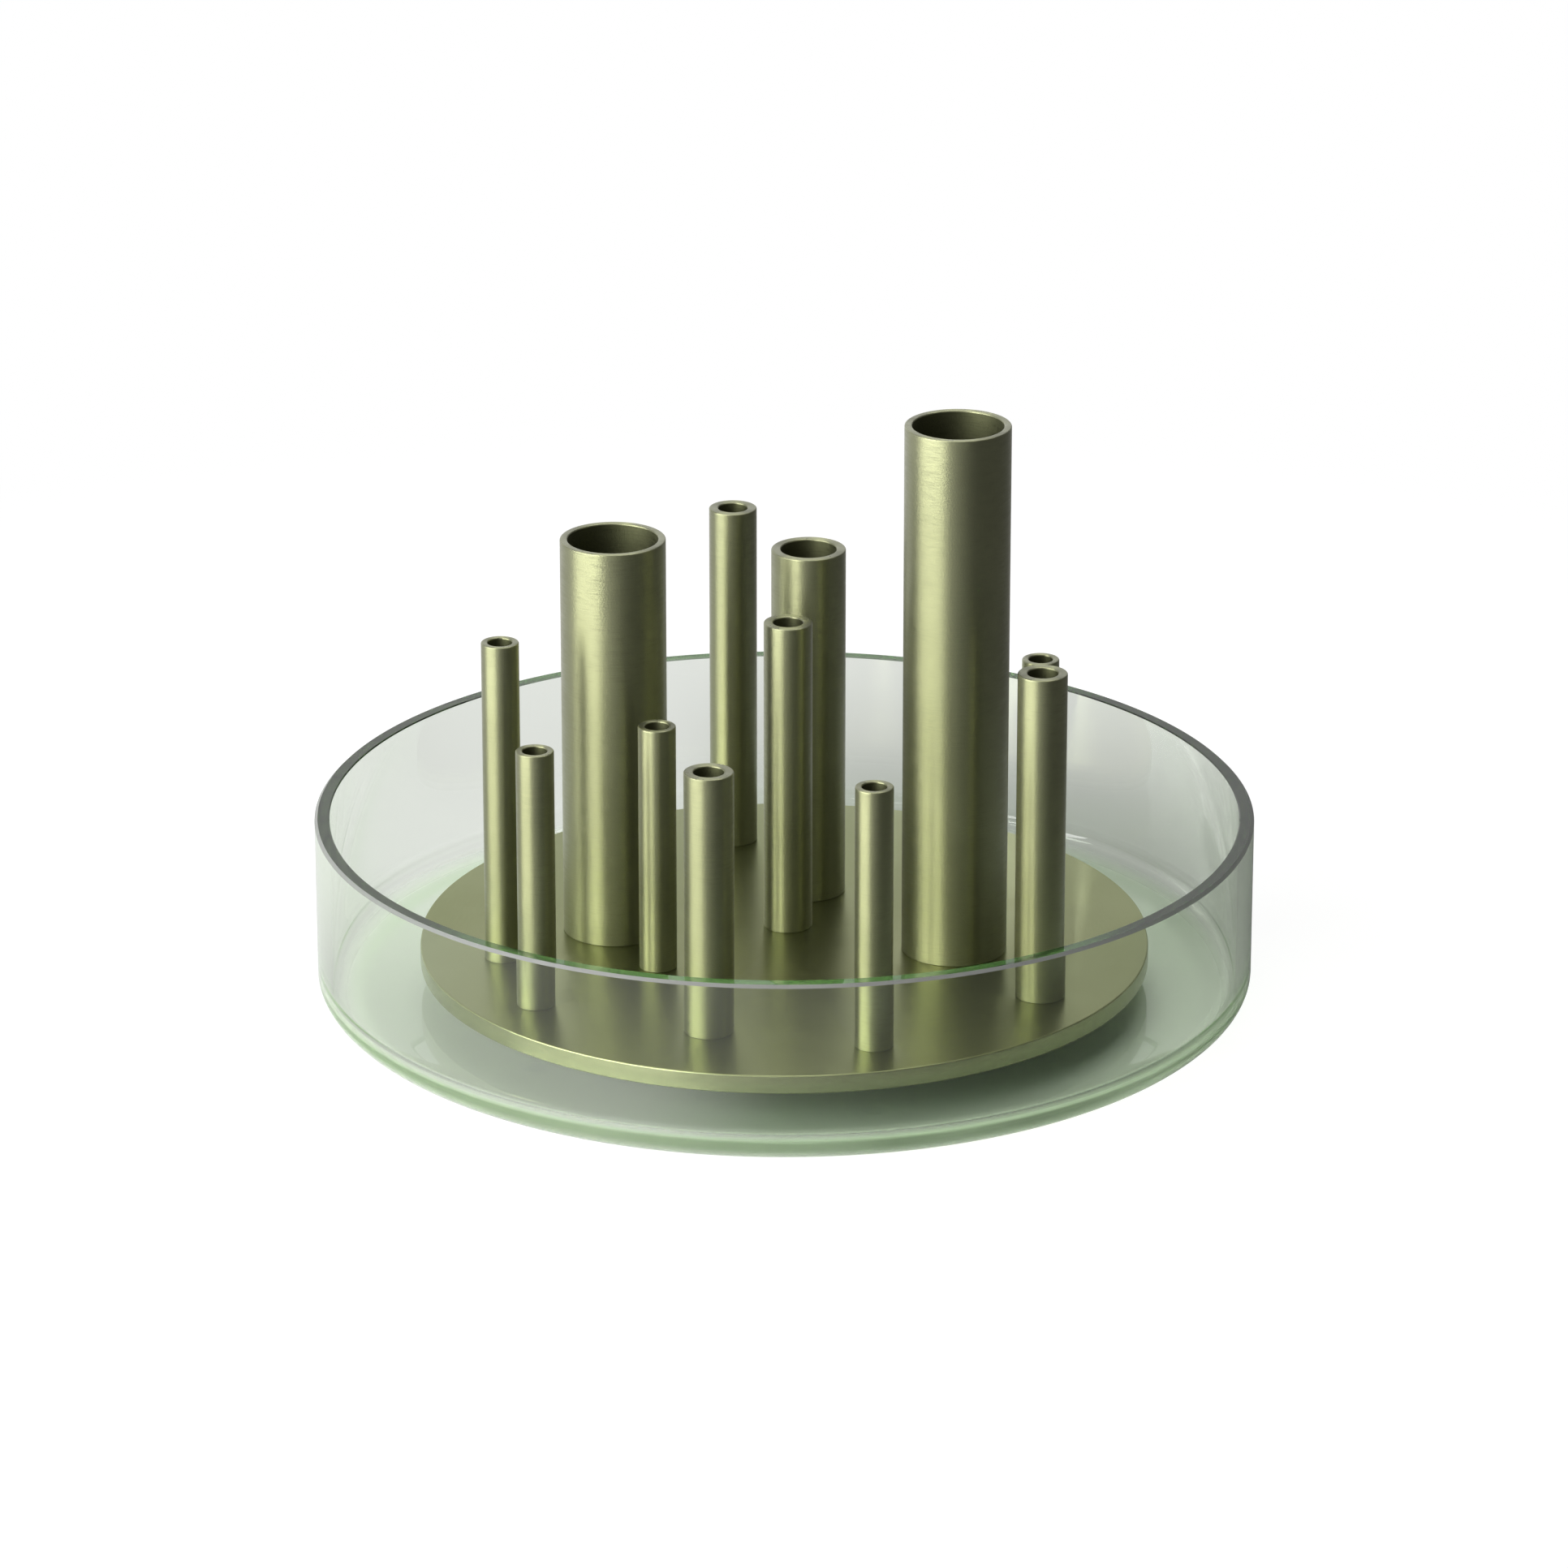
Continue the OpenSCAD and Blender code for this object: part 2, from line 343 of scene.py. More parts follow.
def new_material(name: str) -> tuple[bpy.types.Material, NodeBoard, bpy.types.Node]:
    """Makes an empty node material.

    Args:
        name: Its name.

    Returns:
        The material, its board and its output node.
    """
    material = bpy.data.materials.new(name)
    material.use_nodes = True
    material.node_tree.nodes.clear()
    board = NodeBoard(material.node_tree)
    return material, board, board.add("ShaderNodeOutputMaterial")


def new_group(
    name: str, inputs: dict[str, str], outputs: dict[str, str]
) -> tuple[bpy.types.NodeTree, NodeBoard, bpy.types.Node, bpy.types.Node]:
    """Makes an empty shader node group.

    Args:
        name: Its name.
        inputs: The socket type of each input.
        outputs: The socket type of each output.

    Returns:
        The group, its board, and its input and output nodes.
    """
    group = bpy.data.node_groups.new(name, "ShaderNodeTree")
    for label, kind in inputs.items():
        group.interface.new_socket(label, in_out="INPUT", socket_type=kind)
    for label, kind in outputs.items():
        group.interface.new_socket(label, in_out="OUTPUT", socket_type=kind)
    board = NodeBoard(group)
    return group, board, board.add("NodeGroupInput"), board.add("NodeGroupOutput")


def fine_grain_group(specks: float = 2600.0, drifts: float = 34.0) -> bpy.types.NodeTree:
    """Makes the group for fine turned lines, specks and slow changes of tone.

    Args:
        specks: How many specks there are in a metre.
        drifts: How many changes of tone there are in a metre.

    Returns:
        A group with the inputs Across, the distance across the lines, Place, a point in metres, Line gap
        and Line length, and with the outputs Lines, Speck and Drift, each about 0 to 1.
    """
    group, board, given, result = new_group(
        "fine_grain",
        {
            "Across": "NodeSocketFloat",
            "Place": "NodeSocketVector",
            "Line gap": "NodeSocketFloat",
            "Line length": "NodeSocketFloat",
        },
        {"Lines": "NodeSocketFloat", "Speck": "NodeSocketFloat", "Drift": "NodeSocketFloat"},
    )
    across = board.math("DIVIDE", given.outputs["Across"], given.outputs["Line gap"])
    along = board.math("DIVIDE", 1.0, given.outputs["Line length"])
    slow = board.add("ShaderNodeVectorMath", {0: given.outputs["Place"]}, operation="SCALE")
    board.tree.links.new(along, slow.inputs["Scale"])
    flat = board.add("ShaderNodeSeparateXYZ", {0: slow.outputs[0]})
    stretched = board.add("ShaderNodeCombineXYZ", {0: flat.outputs[0], 1: flat.outputs[1], 2: across})
    lines = board.noise(stretched.outputs[0], 1.0, detail=3.0)
    speck = board.noise(given.outputs["Place"], specks, detail=1.0)
    drift = board.noise(given.outputs["Place"], drifts)
    board.tree.links.new(lines, result.inputs["Lines"])
    board.tree.links.new(speck, result.inputs["Speck"])
    board.tree.links.new(drift, result.inputs["Drift"])
    return group


# Finishes


@dataclass(frozen=True)
class AnodisedAluminium:
    """Satin olive anodised aluminium with fine turned lines."""

    name: str
    grain: bpy.types.NodeTree
    plate_lines: bool = False
    tone: tuple[float, float, float] = (0.28, 0.29, 0.15)
    deep_tone: tuple[float, float, float] = (0.24, 0.25, 0.125)
    roughness: float = 0.5
    flat_roughness: float = 0.36
    stretch: float = 0.9
    coat_roughness: float = 0.42
    coat: float = 1.0
    shine_spread: float = 0.13
    line_gap: float = 0.0004
    line_length: float = 0.004
    line_depth: float = 0.000012
    speck_depth: float = 0.00004
    drift_share: float = 0.6
    tone_change: Ramp = Ramp(0.38, 0.62)
    side_to_top: tuple[float, float] = (0.2, 0.9)
    line_range: tuple[float, float] = (0.25, 0.75)
    stretch_turn: float = 0.25

    def material(self) -> bpy.types.Material:
        """Makes the finish.

        Returns:
            The material.
        """
        material, board, output = new_material(self.name)
        place = board.add("ShaderNodeTexCoord").outputs["Object"]
        parts = board.add("ShaderNodeSeparateXYZ", {0: place})
        across = parts.outputs["Z"]
        if self.plate_lines:
            across = board.math("ADD", across, board.length(board.level(parts)))
        grain = board.add(
            "ShaderNodeGroup",
            {"Across": across, "Place": place, "Line gap": self.line_gap, "Line length": self.line_length},
            node_tree=self.grain,
        )
        lines, speck, drift = (grain.outputs[label] for label in ("Lines", "Speck", "Drift"))
        slow = board.math("MULTIPLY", drift, self.drift_share)
        fast = board.math("MULTIPLY", lines, 1.0 - self.drift_share)
        varied = board.eased(board.math("ADD", slow, fast), self.tone_change)
        colour = board.tint(varied, self.deep_tone, self.tone)
        facing = board.add("ShaderNodeTexCoord").outputs["Normal"]
        up = board.math("ABSOLUTE", board.add("ShaderNodeSeparateXYZ", {0: facing}).outputs["Z"])
        base = board.eased(up, Ramp(*self.side_to_top, self.roughness, self.flat_roughness))
        spread = board.eased(lines, Ramp(*self.line_range, -self.shine_spread, self.shine_spread))
        shine = board.math("ADD", base, spread)
        line_height = board.math("MULTIPLY", lines, self.line_depth)
        height = board.math("ADD", line_height, board.math("MULTIPLY", speck, self.speck_depth))
        tangent = board.add("ShaderNodeTangent", direction_type="RADIAL", axis="Z")
        metal = board.add(
            "ShaderNodeBsdfPrincipled",
            {
                "Base Color": colour,
                "Metallic": 1.0,
                "Roughness": shine,
                "Normal": board.bumped(height),
                "Tangent": tangent.outputs["Tangent"],
                "Anisotropic": self.stretch,
                "Anisotropic Rotation": self.stretch_turn,
                "Coat Weight": self.coat,
                "Coat Roughness": self.coat_roughness,
            },
        )
        board.tree.links.new(metal.outputs[0], output.inputs["Surface"])
        return material


@dataclass(frozen=True)
class BowlGlass:
    """Clear pale green glass, ground rough where it was cut, with painted shade on its rim."""

    bend: float = 1.5
    through_colour: tuple[float, float, float] = (0.45, 0.85, 0.17)
    through_density: float = 19.0
    shadow_colour: tuple[float, float, float] = (0.93, 0.955, 0.925)
    # Painted shade on the rim's faces: dark at the sides, less dark at the front and back as painted light.
    rim_painted_shade_colour: tuple[float, float, float] = (0.01, 0.008, 0.01)
    rim_painted_light_colour: tuple[float, float, float] = (0.15, 0.2, 0.14)
    frost_colour: tuple[float, float, float] = (0.9, 0.92, 0.89)
    ground_roughness: float = 0.45
    grit: float = 0.00005
    grains: float = 2200.0
    rim_painted_light_ramp: Ramp = Ramp(0.08, 0.122)

    def material(self) -> bpy.types.Material:
        """Makes the glass.

        Returns:
            The material, which is rough and white where the attributes "ground" and "frost" say so, and
            darkened as painted shade where the attribute "cut" marks the rim, less so at its front and back
            as painted light. Light reaches the floor straight through it, and its inside holds back red and
            blue.
        """
        material, board, output = new_material("bowl_glass")
        ground = board.attribute("ground")
        cut = board.attribute("cut")
        place = board.add("ShaderNodeTexCoord").outputs["Object"]
        depth = board.math("ABSOLUTE", board.add("ShaderNodeSeparateXYZ", {0: place}).outputs["Y"])
        polished = board.math("SUBTRACT", 1.0, ground)
        # Painted shade darkens the rim's faces; at the front and back it is lighter, as painted light.
        front = board.math("MULTIPLY", board.eased(depth, self.rim_painted_light_ramp), polished)
        colour = board.tint(cut, WHITE, board.tint(front, self.rim_painted_shade_colour, self.rim_painted_light_colour))
        grit = board.noise(place, self.grains, detail=3.0)
        grit = board.math("MULTIPLY", grit, board.math("MULTIPLY", ground, cut))
        normal = board.bumped(board.math("MULTIPLY", grit, self.grit))
        glass = board.add(
            "ShaderNodeBsdfPrincipled",
            {
                "Base Color": colour,
                "Metallic": 0.0,
                "Roughness": board.math("MULTIPLY", ground, self.ground_roughness),
                "IOR": self.bend,
                "Transmission Weight": 1.0,
                "Normal": normal,
            },
        )
        chalky = board.add("ShaderNodeBsdfDiffuse", {"Color": (*self.frost_colour, 1), "Normal": normal})
        milky = board.add("ShaderNodeBsdfTranslucent", {"Color": (*self.frost_colour, 1)})
        frost = board.blend(cut, milky.outputs[0], chalky.outputs[0])
        surface = board.blend(board.attribute("frost"), glass.outputs[0], frost)
        clear = board.add("ShaderNodeBsdfTransparent", {"Color": (*self.shadow_colour, 1)})
        path = board.add("ShaderNodeLightPath")
        lit = board.math("MAXIMUM", path.outputs["Is Shadow Ray"], path.outputs["Is Diffuse Ray"])
        board.tree.links.new(board.blend(lit, surface, clear.outputs[0]), output.inputs["Surface"])
        body = board.add(
            "ShaderNodeVolumeAbsorption",
            {"Color": (*self.through_colour, 1), "Density": self.through_density},
        )
        board.tree.links.new(body.outputs[0], output.inputs["Volume"])
        return material


@dataclass(frozen=True)
class FootRubber:
    """Matt grey silicone rubber with a fine moulded texture."""

    tone: tuple[float, float, float] = (0.11, 0.115, 0.11)
    pale_tone: tuple[float, float, float] = (0.15, 0.155, 0.15)
    grains: float = 1800.0
    grain_depth: float = 0.00003
    tone_changes: float = 240.0
    shine: Ramp = Ramp(0.2, 0.8, 0.64, 0.76)

    def material(self) -> bpy.types.Material:
        """Makes the finish.

        Returns:
            The material.
        """
        material, board, output = new_material("foot_rubber")
        place = board.add("ShaderNodeTexCoord").outputs["Object"]
        fine = board.noise(place, self.grains)
        rubber = board.add(
            "ShaderNodeBsdfPrincipled",
            {
                "Base Color": board.tint(board.noise(place, self.tone_changes), self.tone, self.pale_tone),
                "Roughness": board.eased(fine, self.shine),
                "Normal": board.bumped(board.math("MULTIPLY", fine, self.grain_depth)),
            },
        )
        board.tree.links.new(rubber.outputs[0], output.inputs["Surface"])
        return material


@dataclass(frozen=True)
class ScrewSteel:
    """Plain stainless steel, lightly tumbled."""

    tone: tuple[float, float, float] = (0.56, 0.55, 0.53)
    grains: float = 1500.0
    shine: Ramp = Ramp(0.3, 0.7, 0.24, 0.36)

    def material(self) -> bpy.types.Material:
        """Makes the finish.

        Returns:
            The material.
        """
        material, board, output = new_material("screw_steel")
        place = board.add("ShaderNodeTexCoord").outputs["Object"]
        fine = board.noise(place, self.grains, detail=3.0)
        steel = board.add(
            "ShaderNodeBsdfPrincipled",
            {
                "Base Color": (*self.tone, 1),
                "Metallic": 1.0,
                "Roughness": board.eased(fine, self.shine),
            },
        )
        board.tree.links.new(steel.outputs[0], output.inputs["Surface"])
        return material


# Pieces


@dataclass
class GlassBowl:
    """The glass bowl: an upright wall with a cut and ground rim over a flat floor."""

    node: str = "glass_bowl"
    wall: float = 0.004
    floor: float = 0.004
    corner: tuple[float, float] = (0.015, 0.008)
    inner_corner: tuple[float, float] = (0.012, 0.007)
    rim_bevel: float = 0.0008
    rim_inner_bevel: float = 0.0003
    ground_base: float = 0.9
    ground_height: float = 0.005
    bevel_frost: float = 0.19
    corner_frost: float = 0.8
    base_frost: float = 0.05
    frost_height: float = 0.0005
    hold: float = 0.0005
    corner_steps: int = 20
    steps: int = 384

    def build(self) -> bpy.types.Object:
        """Spins the bowl.

        Returns:
            The bowl. Its attributes say, from 0 to 1, where it is "ground" rough, how white the "frost" of
            that is, and which faces of its rim are "cut", which the glass also darkens as painted shade.
        """
        low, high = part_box(self.node)
        outer_r = (high.x - low.x) / 2
        inner_r = outer_r - self.wall
        rim = high.z
        width, height = self.corner
        inner_width, inner_height = self.inner_corner
        outside = quarter_ellipse((outer_r - width, height), width, height, -90, 0, self.corner_steps)
        inner_centre = (inner_r - inner_width, self.floor + inner_height)
        inside = quarter_ellipse(inner_centre, inner_width, inner_height, 0, -90, self.corner_steps)
        outline = [
            (0, 0),
            (outer_r - width - self.hold, 0),
            *outside,
            (outer_r, height + self.hold),
            (outer_r, rim - self.rim_bevel),
            (outer_r - self.rim_bevel, rim),
            (inner_r + self.rim_inner_bevel, rim),
            (inner_r, rim - self.rim_inner_bevel),
            (inner_r, self.floor + inner_height + self.hold),
            *inside,
            (inner_r - inner_width - self.hold, self.floor),
            (0, self.floor),
        ]
        mesh = spun(outline, self.steps, closed=False)
        ground = mesh.loops.layers.float.new("ground")
        frost = mesh.loops.layers.float.new("frost")
        cut = mesh.loops.layers.float.new("cut")
        for face in mesh.faces:
            middle = face.calc_center_median()
            on_rim = middle.z > rim - self.rim_bevel
            on_bevel = on_rim and middle.xy.length > outer_r - self.rim_bevel
            for corner in face.loops:
                level = corner.vert.co.z
                low_down = max(0.0, 1.0 - level / self.ground_height) if face.normal.z < 0 else 0.0
                corner[ground] = 1.0 if on_bevel else self.ground_base * low_down
                white = self.base_frost + self.corner_frost * min(1.0, level / self.frost_height)
                corner[frost] = self.bevel_frost if on_bevel else low_down * white
                corner[cut] = 1.0 if on_rim else 0.0
        return made_object("bowl", mesh)

    def dress(self, piece: bpy.types.Object, glass: BowlGlass) -> None:
        """Gives the bowl its glass and its place."""
        fit_out(piece, (glass.material(),), Body.BOWL, self.node)


@dataclass
class FlowerTube:
    """One open tube: its shoulder seats on the plate, and its spigot goes down into it."""

    node: str
    bore_r: float
    seat_z: float
    shoulder_w: float = 0.00075
    mouth_round: float = 0.00035
    seat_round: float = 0.00025
    mouth_segments: int = 6
    seat_segments: int = 3
    upright: float = 0.1
    steps: int = 128

    def centre(self) -> Vector:
        """The tube's axis, at the origin's height."""
        low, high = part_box(self.node)
        return Vector(((low.x + high.x) / 2, (low.y + high.y) / 2, 0))

    def outer_r(self) -> float:
        """The tube's outer radius."""
        low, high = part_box(self.node)
        return (high.x - low.x) / 2

    def build(self) -> bpy.types.Object:
        """Spins the tube and rounds its edges.

        Returns:
            The tube, in its place, with material number 1 in its bore.
        """
        low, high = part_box(self.node)
        outer_r = self.outer_r()
        spigot_r = outer_r - self.shoulder_w
        outline = [
            (self.bore_r, low.z),
            (spigot_r, low.z),
            (spigot_r, self.seat_z),
            (outer_r, self.seat_z),
            (outer_r, high.z),
            (self.bore_r, high.z),
        ]
        mesh = spun(outline, self.steps, closed=True)
        round_ring(mesh, outer_r, high.z, self.mouth_round, self.mouth_segments)
        round_ring(mesh, self.bore_r, high.z, self.mouth_round, self.mouth_segments)
        round_ring(mesh, self.bore_r, low.z, self.mouth_round, self.seat_segments)
        round_ring(mesh, outer_r, self.seat_z, self.seat_round, self.seat_segments)
        for face in mesh.faces:
            # The bore's faces take the darker copy of the metal, which is painted shade.
            if face.calc_center_median().xy.length < self.bore_r and abs(face.normal.z) < self.upright:
                face.material_index = 1
        bmesh.ops.translate(mesh, verts=mesh.verts, vec=self.centre())
        return made_object(self.node.replace("_tube", "_flower_tube"), mesh)

    def dress(
        self, piece: bpy.types.Object, metal: bpy.types.Material, bore_metal_painted_shade: bpy.types.Material
    ) -> None:
        """Gives the tube its finish, a darker and rougher copy in its bore whose darkness is painted shade,
        and its place.
        """
        fit_out(piece, (metal, bore_metal_painted_shade), Body.INSERT, self.node)


@dataclass
class BasePlate:
    """The turned plate, with a hole for each tube's spigot and a blind hole for each screw."""

    tubes: Sequence[FlowerTube]
    screw_nodes: Sequence[str]
    node: str = "base_plate"
    edge_round: float = 0.0004
    edge_segments: int = 6
    upright: float = 0.5
    spigot_gap: float = 0.00003
    screw_r: float = 0.00153
    screw_cover: float = 0.0016
    overcut: float = 0.002
    steps: int = 256
    hole_steps: int = 96

    def build(self) -> bpy.types.Object:
        """Spins the disc, rounds its edges and cuts its holes.

        Returns:
            The plate, in its place, with material number 1 on its side.
        """
        low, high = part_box(self.node)
        radius = (high.x - low.x) / 2
        mesh = spun([(0, low.z), (radius, low.z), (radius, high.z), (0, high.z)], self.steps, closed=False)
        round_ring(mesh, radius, high.z, self.edge_round, self.edge_segments)
        round_ring(mesh, radius, low.z, self.edge_round, self.edge_segments)
        holes = bmesh.new()
        for tube in self.tubes:
            hole_r = tube.outer_r() - tube.shoulder_w + self.spigot_gap
            self.drill(holes, tube.centre(), hole_r, low.z - self.overcut, high.z + self.overcut)
        for screw in self.screw_nodes:
            first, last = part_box(screw)
            middle = (first + last) / 2
            self.drill(holes, middle, self.screw_r, low.z - self.overcut, high.z - self.screw_cover)
        plate = cut_away(mesh, holes)
        # The side's faces take the paler copy of the metal, which is a painted highlight.
        for face in plate.faces:
            outermost = face.calc_center_median().xy.length > radius - self.edge_round
            if outermost and abs(face.normal.z) < self.upright:
                face.material_index = 1
        return made_object("plate", plate)

    def drill(self, holes: bmesh.types.BMesh, at: Vector, radius: float, bottom: float, top: float) -> None:
        """Adds a round hole.

        Args:
            holes: The mesh that collects the holes.
            at: Where its axis is.
            radius: Its radius.
            bottom: The height of its lower end.
            top: The height of its upper end.
        """
        place = Matrix.Translation((at.x, at.y, (bottom + top) / 2))
        bmesh.ops.create_cone(
            holes, cap_ends=True, segments=self.hole_steps, radius1=radius, radius2=radius,
            depth=top - bottom, matrix=place,
        )

    def dress(
        self, piece: bpy.types.Object, metal: bpy.types.Material, side_metal_painted_highlight: bpy.types.Material
    ) -> None:
        """Gives the plate its finish, a paler copy on its side whose paleness is a painted highlight, and
        its place.
        """
        fit_out(piece, (metal, side_metal_painted_highlight), Body.INSERT, self.node)


@dataclass
class FootScrew:
    """One screw with a hexagon socket in its head, which faces down."""

    node: str
    shank_r: float = 0.0015
    head_height: float = 0.0017
    socket_across: float = 0.002
    socket_depth: float = 0.0011
    edge_round: float = 0.00025
    edge_segments: int = 3
    socket_sides: int = 6
    steps: int = 64

    def build(self) -> bpy.types.Object:
        """Spins the screw and cuts its socket.

        Returns:
            The screw, in its place.
        """
        low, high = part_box(self.node)
        head_r = (high.x - low.x) / 2
        neck = low.z + self.head_height
        outline = [
            (0, low.z),
            (head_r, low.z),
            (head_r, neck),
            (self.shank_r, neck),
            (self.shank_r, high.z),
            (0, high.z),
        ]
        mesh = spun(outline, self.steps, closed=False)
        round_ring(mesh, head_r, low.z, self.edge_round, self.edge_segments)
        socket_r = self.socket_across / 2 / math.cos(math.pi / self.socket_sides)
        socket = bmesh.new()
        bmesh.ops.create_cone(
            socket, cap_ends=True, segments=self.socket_sides, radius1=socket_r, radius2=socket_r,
            depth=2 * self.socket_depth, matrix=Matrix.Translation((0, 0, low.z)),
        )
        cut = cut_away(mesh, socket)
        centre = (low + high) / 2
        bmesh.ops.translate(cut, verts=cut.verts, vec=(centre.x, centre.y, 0))
        return made_object(f"steel_{self.node}", cut)

    def dress(self, piece: bpy.types.Object, steel: bpy.types.Material) -> None:
        """Gives the screw its steel and its place."""
        fit_out(piece, (steel,), Body.INSERT, self.node)


@dataclass
class RubberFoot:
    """One foot: a tapered puck with a hole for its screw and a pocket that hides the screw's head."""

    node: str
    screw: FootScrew
    taper: float = 0.0006
    edge_round: float = 0.0006
    edge_segments: int = 4
    screw_gap: float = 0.0002
    steps: int = 96

    def build(self) -> bpy.types.Object:
        """Spins the foot.

        Returns:
            The foot, in its place.
        """
        low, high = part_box(self.node)
        head_low, head_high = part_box(self.screw.node)
        top_r = (high.x - low.x) / 2
        bottom_r = top_r - self.taper
        hole_r = self.screw.shank_r + self.screw_gap
        pocket_r = (head_high.x - head_low.x) / 2 + self.screw_gap
        pocket_top = head_low.z + self.screw.head_height
        outline = [
            (pocket_r, low.z),
            (bottom_r, low.z),
            (top_r, high.z),
            (hole_r, high.z),
            (hole_r, pocket_top),
            (pocket_r, pocket_top),
        ]
        mesh = spun(outline, self.steps, closed=True)
        round_ring(mesh, bottom_r, low.z, self.edge_round, self.edge_segments)
        centre = (low + high) / 2
        bmesh.ops.translate(mesh, verts=mesh.verts, vec=(centre.x, centre.y, 0))
        return made_object(f"rubber_{self.node}", mesh)

    def dress(self, piece: bpy.types.Object, rubber: bpy.types.Material) -> None:
        """Gives the foot its rubber and its place."""
        fit_out(piece, (rubber,), Body.INSERT, self.node)


# Studio


@dataclass(frozen=True)
class SoftLamp:
    """A square soft lamp that faces the object."""

    name: str
    angle: float
    height: float
    distance: float
    size: float
    power: float

    def build(self, aim: Vector) -> None:
        """Hangs the lamp.

        Args:
            aim: The point that it faces.
        """
        data = bpy.data.lights.new(self.name, "AREA")
        data.shape = "SQUARE"
        data.size = self.size
        data.energy = self.power
        lamp = bpy.data.objects.new(self.name, data)
        level = math.cos(self.height)
        across = math.sin(self.angle) * level
        towards = Vector((across, -math.cos(self.angle) * level, math.sin(self.height)))
        lamp.location = aim + towards * self.distance
        lamp.rotation_euler = (-towards).to_track_quat("-Z", "Y").to_euler()
        bpy.context.scene.collection.objects.link(lamp)


@dataclass
class Studio:
    """A pale floor and surroundings, two large soft lamps, and the camera."""

    floor_radius: float = 12.0
    floor_sides: int = 96
    floor_drop: float = 0.0003
    floor_colour: float = 0.78
    # Painted shade and light on the floor as seen through the glass.
    shaded_side: tuple[float, float, float] = (0.2, -0.98, 0.0)
    shade: Ramp = Ramp(0.02, 0.125, 0.8, 0.27)
    shade_past_bowl: Ramp = Ramp(0.11, 0.116, 1.0, 0.7)
    open_side: Ramp = Ramp(-0.03, 0.09, 0.46, 0.8)
    open_to_shaded: Ramp = Ramp(-0.05, 0.005)
    under_to_beyond: Ramp = Ramp(0.13, 0.3)
    beyond: Ramp = Ramp(-0.05, 0.2, 0.86, 0.78)
    dim_side: tuple[float, float, float] = (0.94, -0.34, 0.0)
    dim_side_loss: Ramp = Ramp(0.45, 0.9, 0.0, 0.5)
    near_glow: float = 0.84
    near_colour: float = 0.25
    near_to_far: Ramp = Ramp(0.22, 0.5)
    side_lamp: SoftLamp = SoftLamp(
        "side_lamp", angle=math.radians(-58), height=math.radians(20), distance=1.1, size=1.25, power=31.0
    )
    top_lamp: SoftLamp = SoftLamp(
        "top_lamp", angle=math.radians(170), height=math.radians(70), distance=1.2, size=0.8, power=6.0
    )
    fill: float = 0.12
    wall_gain: float = 1.3
    pale_to_dark: Ramp = Ramp(-0.35, 0.75, 0.9, 0.16)
    dimmer_upwards: Ramp = Ramp(0.35, 0.8, 1.0, 0.4)
    dark_angle: float = math.radians(86)
    camera_lens: float = 172.55
    camera_distance: float = 2.0
    camera_height: float = math.radians(20.7)
    camera_reach: float = 100.0
    aim: tuple[float, float, float] = (-0.00008, 0.0, 0.05795)
    light_turns: int = 20

    def tone_group(self) -> bpy.types.NodeTree:
        """Makes the group for how pale the room is in each direction, as metal and glass mirror it.

        Returns:
            A group with the input Direction and the output Tone.
        """
        group, board, given, result = new_group(
            "room_tone", {"Direction": "NodeSocketVector"}, {"Tone": "NodeSocketFloat"}
        )
        parts = board.add("ShaderNodeSeparateXYZ", {0: given.outputs["Direction"]})
        dark = (math.sin(self.dark_angle), -math.cos(self.dark_angle), 0.0)
        tone = board.eased(board.towards(board.direction(board.level(parts)), dark), self.pale_to_dark)
        tone = board.math("MULTIPLY", tone, board.eased(parts.outputs["Z"], self.dimmer_upwards))
        board.tree.links.new(tone, result.inputs["Tone"])
        return group

    def build_floor(self, tone: bpy.types.NodeTree) -> None:
        """Lays the floor.

        The camera sees it white, with the object's soft shadow. Metal mirrors it as a glow in the room's
        tone, a painted reflection.
        Through the glass it shows painted shade on one side and, on the other, a glow that stands in for
        open light without shadow;
        further off it glows pale, with painted dimming to one side.

        Args:
            tone: The group for the room's tone.
        """
        mesh = bmesh.new()
        bmesh.ops.create_circle(
            mesh, cap_ends=True, segments=self.floor_sides, radius=self.floor_radius,
            matrix=Matrix.Translation((0, 0, -self.floor_drop)),
        )
        floor = made_object("studio_floor", mesh)
        material, board, output = new_material("studio_floor")
        place = board.add("ShaderNodeTexCoord").outputs["Object"]
        parts = board.add("ShaderNodeSeparateXYZ", {0: place})
        path = board.add("ShaderNodeLightPath")
        away = board.length(place)
        lit = board.matt((self.floor_colour,) * 3)
        # Painted shade: the floor's colour darkens towards the shaded side and past the bowl's edge.
        shade = board.eased(board.towards(place, self.shaded_side), self.shade)
        shade = board.math("MULTIPLY", shade, board.eased(away, self.shade_past_bowl))
        shaded = board.matt(board.tint(shade, BLACK, WHITE))
        # Painted light: on the open side the floor glows instead of being lit, so it keeps no shadow.
        open_side = board.glowing(board.eased(parts.outputs["Y"], self.open_side))
        under = board.blend(board.eased(parts.outputs["X"], self.open_to_shaded), open_side, shaded)
        side_tone = board.add("ShaderNodeGroup", {"Direction": place}, node_tree=tone).outputs["Tone"]
        faint = board.matt((self.near_colour,) * 3)
        near = board.add("ShaderNodeAddShader", {0: faint, 1: board.glowing(self.near_glow)})
        seen = board.blend(board.eased(away, self.near_to_far), near.outputs[0], board.glowing(1.0))
